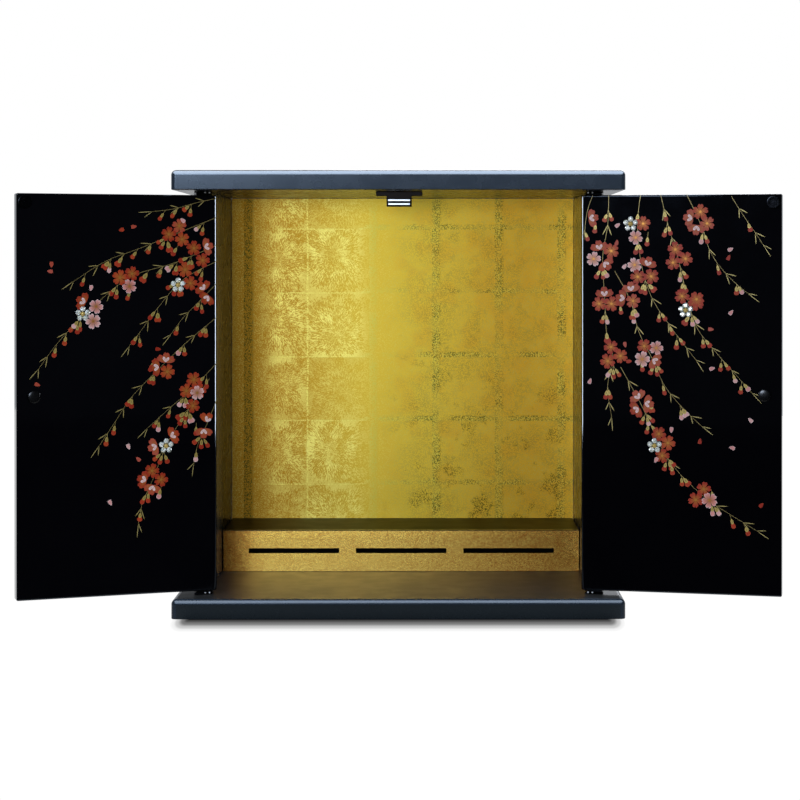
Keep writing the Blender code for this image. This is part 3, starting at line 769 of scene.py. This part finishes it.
# Painted branches. Lengths are in millimetres on the door's inner face: x from the hinge edge, y upwards.
paint = {
    "gap": 0.005, "thinnest": 0.03, "levelStep": 0.012, "levels": 12,
    "branchWidth": 0.44, "stemWidth": 0.36,
    "leafLength": 11.5, "leafWidth": 0.95,
    "budLength": 10.0, "budWidth": 5.0,
    "blossomRadius": 7.8, "clusterSpacing": 13.2,
    "nodeSpacing": 15.0, "margin": 0.9,
}
tints = {
    "branch": "#a08a48", "leaf": "#aa954c", "leafTip": "#c2ae66", "calyx": "#c7a94c", "calyxFoot": "#7a6228",
    "reds": ["#a92c1a", "#b63820", "#ae2f20", "#bb4222"], "coral": ["#bb4c38", "#c25746"],
    "pinks": ["#f0a8a0", "#f4b8ae", "#ec9c94"], "redRim": "#c04a2e", "pinkRim": "#ffe6dc",
    "heart": "#b5652a", "lobe": "#fbdcd2", "lobeRim": "#fff4ec",
}
glassPlaces = {
    -1: ((40.0, -90.0), (135.0, -118.0), (52.0, -250.0)),
    1: ((50.0, -29.0), (105.0, -115.0), (74.0, -250.0)),
}
# Each branch: the points it passes, and where its clusters of blossoms sit (place along it, blossoms in it).
branches = {
    -1: [
        {"route": ((0, -3), (22, -8), (44, -14), (66, -17)), "clusters": ()},
        {"route": ((0, -22), (40, -38), (80, -54), (112, -66), (144, -86)), "clusters": ((0.28, 3),)},
        {"route": ((0, -50), (44, -68), (88, -82), (126, -112), (156, -142), (178, -171)),
         "clusters": ((0.08, 3), (0.44, 3), (0.66, 3))},
        {"route": ((0, -66), (34, -84), (60, -112), (78, -136), (89, -150)), "clusters": ((0.28, 2),)},
        {"route": ((0, -88), (20, -108), (36, -124), (47, -139)), "clusters": ((0.18, 3),)},
        {"route": ((0, -122), (30, -146), (54, -168), (86, -200), (104, -226), (119, -248)),
         "clusters": ((0.42, 3),)},
        {"route": ((0, -168), (26, -194), (48, -212), (71, -232)), "clusters": ((0.36, 3),)},
        {"route": ((8, -184), (32, -218), (50, -246), (66, -284), (76, -306), (80, -326)),
         "clusters": ((0.16, 2), (0.46, 2), (0.72, 4))},
        {"route": ((0, -204), (10, -228), (20, -250), (24, -268)), "clusters": ((0.42, 2),)},
    ],
    1: [
        {"route": ((12, 0), (6, -18), (3, -44)), "clusters": ((0.55, 2),)},
        {"route": ((28, 0), (27, -30), (22, -62), (24, -104), (26, -138), (32, -160), (27, -192), (31, -222)),
         "clusters": ((0.27, 4), (0.47, 3), (0.72, 3))},
        {"route": ((60, 0), (57, -30), (61, -70), (72, -104), (92, -134), (104, -150), (115, -164)),
         "clusters": ((0.2, 2), (0.42, 4))},
        {"route": ((80, 0), (88, -32), (98, -66), (106, -100), (116, -132), (138, -160), (154, -178),
                   (170, -196)),
         "clusters": ((0.29, 3), (0.5, 3))},
        {"route": ((106, 0), (119, -28), (130, -58), (146, -80), (166, -98)), "clusters": ((0.24, 4),)},
        {"route": ((150, -2), (161, -20), (172, -36), (181, -50)), "clusters": ()},
        {"route": ((34, -76), (50, -106), (58, -136), (72, -164), (84, -190), (102, -212), (121, -230)),
         "clusters": ((0.16, 3), (0.5, 4))},
        {"route": ((40, -172), (62, -212), (80, -250), (98, -276), (126, -302), (148, -316), (175, -332)),
         "clusters": ((0.19, 3), (0.42, 3), (0.71, 3))},
    ],
}


def smoothRoute(points, stepLength=3.0):
    # points on a smooth line through the given ones
    line = []
    padded = [points[0]] + list(points) + [points[-1]]
    for a, b, c, d in zip(padded, padded[1:], padded[2:], padded[3:]):
        a, b, c, d = (Vector(p) for p in (a, b, c, d))
        steps = max(2, round((c - b).length / stepLength))
        for i in range(steps):
            t = i / steps
            line.append(0.5 * (2 * b + (c - a) * t + (2 * a - 5 * b + 4 * c - d) * t ** 2
                               + (3 * b - a - 3 * c + d) * t ** 3))
    line.append(Vector(points[-1]))
    return line


def alongLine(line, share):
    # the place at a share of the line's length, and the direction there
    lengths = [(b - a).length for a, b in zip(line, line[1:])]
    wanted = share * sum(lengths)
    for (a, b), length in zip(zip(line, line[1:]), lengths):
        if wanted <= length:
            return a.lerp(b, wanted / length), (b - a).normalized()
        wanted -= length
    return line[-1].copy(), (line[-1] - line[-2]).normalized()


def turnedBy(direction, degrees):
    return direction @ Matrix.Rotation(math.radians(-degrees), 2)


class Painting:
    # the films on one door, gathered by kind
    def __init__(self, side, seed):
        self.side = side
        self.dice = random.Random(seed)
        self.level = 0
        self.films = {kind: bmesh.new() for kind in ("leaves", "buds", "blossoms", "petals")}
        for bm in self.films.values():
            bm.verts.layers.float_color.new("tint")
            bm.loops.layers.uv.new("petals")
        self.lines = []

    def nextHeight(self):
        self.level = (self.level + 1) % paint["levels"]
        return paint["thinnest"] + paint["levelStep"] * self.level


def onDoor(point):
    # whether a place is on the door's face, clear of its arrises
    nearest = arrisSpec["hinge"] / millimetre
    farthest = (doorSpec["width"] - arrisSpec["other"]) / millimetre - paint["margin"]
    return nearest < point.x < farthest and point.y < -paint["margin"]


def addFilm(painting, kind, place, direction, outline, segments, colours, height, rim=0.12, heart=(0.0, 0.0)):
    # one painted shape: a circle bent to the outline, raised, with a rim and a centre of their own tints
    bm = painting.films[kind]
    tint = bm.verts.layers.float_color["tint"]
    uv = bm.loops.layers.uv["petals"]
    circle = bmesh.ops.create_circle(bm, cap_ends=True, segments=segments, radius=1.0)["verts"]
    shape = [Vector(outline(math.atan2(v.co.y, v.co.x) % math.tau)) for v in circle]
    size = max(point.length for point in shape)
    for vert, point in zip(circle, shape):
        vert.co = (point.x, point.y, 0)
    base = circle[0].link_faces[0]
    raised = bmesh.ops.extrude_face_region(bm, geom=[base])["geom"]
    top = next(g for g in raised if isinstance(g, bmesh.types.BMFace))
    rimVerts = list(top.verts)
    for vert in rimVerts:
        vert.co.z = height
    inner = bmesh.ops.extrude_face_region(bm, geom=[top])["geom"]
    bmesh.ops.delete(bm, geom=[top], context="FACES_ONLY")
    top = next(g for g in inner if isinstance(g, bmesh.types.BMFace))
    innerVerts = list(top.verts)
    middle = Vector((heart[0], heart[1], height))
    for vert in innerVerts:
        vert.co = vert.co.lerp(middle, rim)
    centre = bmesh.ops.poke(bm, faces=[top])["verts"][0]
    centre.co = middle
    rimColour, bodyColour, heartColour = (linear(c) for c in colours)
    everything = circle + rimVerts + innerVerts + [centre]
    turn = Matrix.Rotation(math.atan2(direction.y, direction.x), 4, "Z")
    move = Matrix.Translation((place.x, place.y, 0))
    if not all(onDoor(move @ turn @ vert.co) for vert in everything):
        bmesh.ops.delete(bm, geom=everything, context="VERTS")
        return
    for vert in circle + rimVerts:
        vert[tint] = rimColour
    for vert in innerVerts:
        vert[tint] = bodyColour
    centre[tint] = heartColour
    for face in {f for v in everything for f in v.link_faces}:
        for loop in face.loops:
            loop[uv].uv = (0.5 + 0.5 * loop.vert.co.x / size, 0.5 + 0.5 * loop.vert.co.y / size)
    bmesh.ops.transform(bm, matrix=move @ turn, verts=everything)


def blossomOutline(radius):
    # five petals, each with a small notch in the middle of its tip
    def outline(angle):
        phase = (angle * 5 / math.tau + 0.5) % 1.0 - 0.5
        lobe = 0.3 + 0.7 * max(math.cos(math.pi * phase), 0.0) ** 0.36
        notch = 0.17 * math.exp(-(phase / 0.07) ** 2)
        r = radius * (lobe - notch)
        return r * math.cos(angle), r * math.sin(angle)
    return outline


def petalOutline(length, width, notch):
    # a petal from its foot at the origin out along x, widest past the middle, notched at the tip
    def outline(angle):
        share = 0.5 - 0.5 * math.cos(angle)
        x = length * (1 - share)
        spread = math.sin(angle) * width / 2 * (1.25 - 0.65 * share)
        if share < 0.02:
            x -= notch
        return x, spread
    return outline


def leafOutline(length, width):
    def outline(angle):
        x = length * (0.5 + 0.5 * math.cos(angle))
        return x, width / 2 * math.sin(angle) * abs(math.sin(angle)) ** 0.4 * (0.75 + 0.35 * (x / length))
    return outline


def addLeaf(painting, place, direction, length, width, body):
    addFilm(painting, "leaves", place, direction, leafOutline(length, width), 12,
            (tints["leaf"], body, tints["leafTip"]), painting.nextHeight(), 0.2, (length / 2, 0))


def addLeafPair(painting, place, direction):
    dice = painting.dice
    for turn in (dice.uniform(20, 34), -dice.uniform(20, 34)):
        length = paint["leafLength"] * dice.uniform(0.7, 1.05)
        addLeaf(painting, place, turnedBy(direction, turn), length, paint["leafWidth"], tints["leaf"])


def addTip(painting, place, direction):
    # a branch ends in a long leaf that carries on and a shorter one to the side
    dice = painting.dice
    side = dice.choice((-1, 1))
    for turn, share in ((dice.uniform(-6, 6), 1.25), (side * dice.uniform(26, 36), 0.85)):
        addLeaf(painting, place, turnedBy(direction, turn), paint["leafLength"] * share,
                paint["leafWidth"] * 0.8, tints["leafTip"])


def addBud(painting, place, direction, big=False):
    # a stalk, a gold calyx shaped like a drop, and the coloured tip of the bud
    dice = painting.dice
    stalk = dice.uniform(2.5, 5.0)
    foot = place + direction * stalk
    painting.lines.append(([place, place + direction * stalk * 0.5, foot + direction], paint["stemWidth"]))
    length = paint["budLength"] * dice.uniform(0.85, 1.05) * (1.15 if big else 1.0)
    width = paint["budWidth"] * dice.uniform(0.85, 1.05) * (1.3 if big else 1.0)
    pink = dice.random() < 0.3
    body = dice.choice(tints["pinks"] if pink else tints["reds"])
    rim = tints["pinkRim"] if pink else tints["redRim"]
    low = painting.nextHeight()
    tip = foot + direction * length * 0.34
    addFilm(painting, "buds", tip, direction, petalOutline(length * 0.64, width, 0.9 if big else 0.0), 14,
            (rim, body, body), low, 0.16, (length * 0.34, 0))
    if big:
        for turn in (-24, 24):
            outline = petalOutline(length * 0.56, width * 0.6, 0.6)
            addFilm(painting, "buds", tip, turnedBy(direction, turn), outline, 12, (rim, body, rim),
                    low - 0.004, 0.16, (length * 0.3, 0))
    addFilm(painting, "leaves", foot, direction, petalOutline(length * 0.56, width * 0.66, 0.0), 12,
            (tints["calyx"], tints["calyx"], tints["calyxFoot"]), low + 0.01, 0.24, (length * 0.3, 0))


def addBuds(painting, place, direction, count):
    # buds hang: their stalks lean from the branch's direction towards the ground
    down = Vector((0, -1))
    for i in range(count):
        spread = (i - (count - 1) / 2) * 34 + painting.dice.uniform(-8, 8)
        hang = turnedBy((direction * 0.55 + down * 0.75).normalized(), spread)
        addBud(painting, place, hang, painting.dice.random() < 0.16)


def addOpenBlossom(painting, place, pink):
    dice = painting.dice
    radius = paint["blossomRadius"] * dice.uniform(0.94, 1.06)
    facing = Vector((1, 0)) @ Matrix.Rotation(dice.uniform(0, math.tau), 2)
    body = dice.choice(tints["pinks"] if pink else tints["reds"] + tints["coral"][:1])
    colours = (tints["pinkRim"] if pink else tints["redRim"], body, tints["heart"])
    addFilm(painting, "blossoms", place, facing, blossomOutline(radius), 60, colours,
            painting.nextHeight() + 0.08, 0.1)


def addSideBlossom(painting, place, facing):
    # seen from the side: three petals behind and two pale ones folded forward
    dice = painting.dice
    body = dice.choice(tints["reds"] + tints["coral"])
    foot = place - facing * 3.4
    low = painting.nextHeight() + 0.06
    reach = paint["blossomRadius"]
    for i, turn in enumerate((-58, 58, 0)):
        outline = petalOutline(reach * 1.3, reach * 0.86, 1.0)
        addFilm(painting, "petals", foot, turnedBy(facing, turn), outline, 16,
                (tints["redRim"], body, tints["heart"]), low + 0.012 * i, 0.1, (reach * 0.3, 0))
    for turn in (-31, 31):
        addFilm(painting, "petals", foot + facing * 0.4, turnedBy(facing, turn),
                petalOutline(reach * 0.7, reach * 0.36, 0.0), 12,
                (tints["lobeRim"], tints["lobe"], tints["pinks"][0]), low + 0.05, 0.2, (reach * 0.3, 0))


def addCluster(painting, place, direction, count):
    # blossoms packed round a place, clear of the glass flowers, with buds below them
    dice = painting.dice
    spacing = paint["clusterSpacing"]
    start = dice.uniform(0, math.tau)
    spots = [Vector((math.cos(start + math.tau * i / count), math.sin(start + math.tau * i / count)))
             * spacing / (2 * math.sin(math.pi / max(count, 2))) for i in range(count)]
    for i, spot in enumerate(spots):
        spot = place + spot + Vector((dice.uniform(-1, 1), dice.uniform(-1, 1)))
        nearest = min(glassPlaces[painting.side], key=lambda g: (Vector(g) - spot).length)
        away = spot - Vector(nearest)
        if away.length < spacing * 0.95:
            spot = Vector(nearest) + away.normalized() * spacing * 0.95
        spot.x = max(spot.x, paint["blossomRadius"] * 1.25)
        spot.y = min(spot.y, -paint["blossomRadius"] * 1.2)
        choice = dice.random()
        if choice < 0.30:
            addSideBlossom(painting, spot, turnedBy((spot - place).normalized(), dice.uniform(-30, 30)))
        else:
            addOpenBlossom(painting, spot, choice > 0.80)
    edge = place + direction * spacing * 0.85
    addBuds(painting, edge, direction, dice.choice((2, 3, 3)))
    if dice.random() < 0.5:
        addBuds(painting, place + turnedBy(direction, dice.choice((-80, 80))) * spacing * 0.8, direction, 1)


def paintBranch(painting, branch):
    line = smoothRoute(branch["route"])
    length = sum((b - a).length for a, b in zip(line, line[1:]))
    painting.lines.append((line, paint["branchWidth"]))
    clusterShares = [share for share, _ in branch["clusters"]]
    for share, count in branch["clusters"]:
        place, direction = alongLine(line, share)
        addCluster(painting, place, direction, count)
    count = max(2, round(length / paint["nodeSpacing"]))
    leafTurn = painting.dice.random() < 0.5
    for i in range(1, count):
        share = i / count
        if any(abs(share - other) * length < paint["clusterSpacing"] * 1.2 for other in clusterShares):
            continue
        place, direction = alongLine(line, share)
        if leafTurn:
            addLeafPair(painting, place, direction)
            if painting.dice.random() < 0.35:
                addBuds(painting, place, direction, 1)
        else:
            addBuds(painting, place, direction, painting.dice.choice((1, 2, 2)))
        leafTurn = not leafTurn
    place, direction = alongLine(line, 1.0)
    addTip(painting, place, direction)


def addFallingPetals(painting, count):
    # loose petals between and below the branches
    dice = painting.dice
    routes = [p for branch in branches[painting.side] for p in smoothRoute(branch["route"], 8.0)]
    placed = 0
    while placed < count:
        spot = Vector((dice.uniform(8, 182), -dice.uniform(12, 330)))
        near = min((spot - p).length for p in routes)
        if 11 < near < 34:
            pink = dice.random() < 0.35
            body = dice.choice(tints["pinks"] if pink else tints["reds"][:2] + tints["coral"])
            facing = Vector((1, 0)) @ Matrix.Rotation(dice.uniform(0, math.tau), 2)
            addFilm(painting, "petals", spot, facing, petalOutline(6.2, 3.9, 0.5), 14,
                    (tints["pinkRim"] if pink else body, body, body), painting.nextHeight(), 0.2, (3.0, 0))
            placed += 1


def drawLines(painting):
    # branches and stalks: round curves, made a mesh and pressed flat on the door
    curve = bpy.data.curves.new("lines", "CURVE")
    curve.dimensions = "3D"
    curve.bevel_depth = 0.5
    curve.bevel_resolution = 1
    curve.use_fill_caps = True
    for points, width in painting.lines:
        spline = curve.splines.new("POLY")
        spline.points.add(len(points) - 1)
        for i, (knot, point) in enumerate(zip(spline.points, points)):
            knot.co = (point.x, point.y, 0, 1)
            knot.radius = width * (1.0 - 0.35 * i / len(points))
    holder = bpy.data.objects.new("lines", curve)
    scene.collection.objects.link(holder)
    mesh = bpy.data.meshes.new_from_object(holder.evaluated_get(bpy.context.evaluated_depsgraph_get()))
    bm = bmesh.new()
    bm.from_mesh(mesh)
    bpy.data.objects.remove(holder)
    bpy.data.curves.remove(curve)
    bpy.data.meshes.remove(mesh)
    bmesh.ops.remove_doubles(bm, verts=bm.verts, dist=0.0001)
    bmesh.ops.scale(bm, vec=(1, 1, 0.06), verts=bm.verts)
    bmesh.ops.translate(bm, vec=(0, 0, 0.03), verts=bm.verts)
    tint = bm.verts.layers.float_color.new("tint")
    for vert in bm.verts:
        vert[tint] = linear(tints["branch"])
    return bm


filmKinds = {
    "leaves": (goldLineMaterial, "painted_leaves_%s"),
    "buds": (filmMaterial, "painted_buds_%s"),
    "blossoms": (blossomMaterial, "painted_blossoms_%s"),
    "petals": (filmMaterial, "painted_petals_%s"),
}
paintingSeeds = {-1: 21, 1: 34}
fallingPetals = {-1: 11, 1: 17}

for side in (-1, 1):
    painting = Painting(side, paintingSeeds[side])
    for branch in branches[side]:
        paintBranch(painting, branch)
    addFallingPetals(painting, fallingPetals[side])
    finished = [(bm, *filmKinds[kind]) for kind, bm in painting.films.items()]
    finished.append((drawLines(painting), goldLineMaterial, "painted_branches_%s"))
    for bm, material, name in finished:
        bmesh.ops.scale(bm, vec=(millimetre,) * 3, verts=bm.verts)
        setOnDoor(bm, side, z=paint["gap"] * millimetre)
        addPiece(bm, name % sideWords[side], material, bodyNames[side])
    print("painted the %s door" % sideWords[side])


# Cut-glass flowers: five faceted stones in foil round a gold bead, in millimetres
flowerSpec = {
    "stones": 5, "stoneRadius": 2.75, "stoneHeight": 1.6, "table": 0.5, "ringRadius": 4.87, "facetEdge": 0.42,
    # the facets' tints are painted reflections, one for each facet
    "facets": ("#ffffff", "#f8fbf6", "#cfe6ea", "#e6eecb", "#83928c", "#ffffff", "#f2ebbe", "#272e2a",
               "#3c463c", "#b4c8bc"),
    "bead": ((0, 1.65), (0.7, 1.5), (1.3, 1.1), (1.9, 0.5), (2.2, 0.0), (0, 0)), "beadSteps": 24,
    "beadTint": "#d9b45a",
}


def glassFlower(side, index, place):
    dice = random.Random(100 * index + side)
    bm = bmesh.new()
    spec = flowerSpec
    for i in range(spec["stones"]):
        angle = math.tau * i / spec["stones"] + math.pi / 2
        centre = Vector((math.cos(angle), math.sin(angle))) * spec["ringRadius"]
        stone = bmesh.ops.create_cone(
            bm, cap_ends=True, segments=8, radius1=spec["stoneRadius"],
            radius2=spec["stoneRadius"] * spec["table"], depth=spec["stoneHeight"],
            matrix=Matrix.Translation((*centre, spec["stoneHeight"] / 2)) @ Matrix.Rotation(angle, 4, "Z"))
        own = set(stone["verts"])
        slopes = [e for e in bm.edges if e.verts[0] in own and abs(e.verts[0].co.z - e.verts[1].co.z) > 0.5]
        roundEdges(bm, slopes, spec["facetEdge"], 1)
    # the star cut: every upper facet is split about its middle
    bmesh.ops.poke(bm, faces=[face for face in bm.faces if face.normal.z > 0.2])
    # each facet gets one tint, a painted reflection
    facet = bm.loops.layers.float_color.new("tint")
    # tints are drawn in the order of the facets' places, since a bevel's own order can change from run to run
    for face in sorted(bm.faces, key=lambda face: [round(c, 2) for c in face.calc_center_median()]):
        shade = linear(dice.choice(spec["facets"]))
        for loop in face.loops:
            loop[facet] = shade
    bmesh.ops.scale(bm, vec=(millimetre,) * 3, verts=bm.verts)
    setOnDoor(bm, side, place[0] * millimetre, place[1] * millimetre, innerGap)
    nodeName = "crystal_flower_%s_%d" % (sideWords[side], index)
    glassStones.append(addPiece(bm, nodeName + "_stones", glassMaterial, bodyNames[side],
                                [nodeName], smoothAngle=5))
    bm = spun(spec["bead"], spec["beadSteps"])
    tint = bm.verts.layers.float_color.new("tint")
    for vert in bm.verts:
        vert[tint] = linear(spec["beadTint"])
    setOnDoor(bm, side, place[0] * millimetre, place[1] * millimetre, innerGap)
    addPiece(bm, nodeName + "_bead", goldLineMaterial, bodyNames[side])


glassStones = []
for side in (-1, 1):
    for index, place in enumerate(glassPlaces[side], 1):
        glassFlower(side, index, place)
print("glass flowers set")

# Black cards keep each softbox to the pieces it is meant for
cadNodes = frame["nodes"]
interior = [cadNodes[name] for name in ("gold_panel", "dais_front", "dais_top", "dais_side_left",
                                        "dais_side_right", "catch_housing", "catch_magnet")]
panels = [cadNodes[name] for name in ("side_panel_left", "side_panel_right", "back_panel")]
carded = {
    "frontLeft": ("EXCLUDE", interior),
    "interiorKey": ("INCLUDE", interior + panels + catchPlates + rivetGlints + glassStones),
    "leftStrip": ("INCLUDE", polishedDoors[1:] + panels),
    "rightStrip": ("INCLUDE", polishedDoors[:1] + panels),
    "topFront": ("INCLUDE", lacqueredBoards),
}
for lightName, (state, pieces) in carded.items():
    cards = bpy.data.collections.new("pieces of " + lightName)
    for piece in pieces:
        cards.objects.link(piece)
    for entry in cards.collection_objects:
        entry.light_linking.link_state = state
    softboxes[lightName].light_linking.receiver_collection = cards
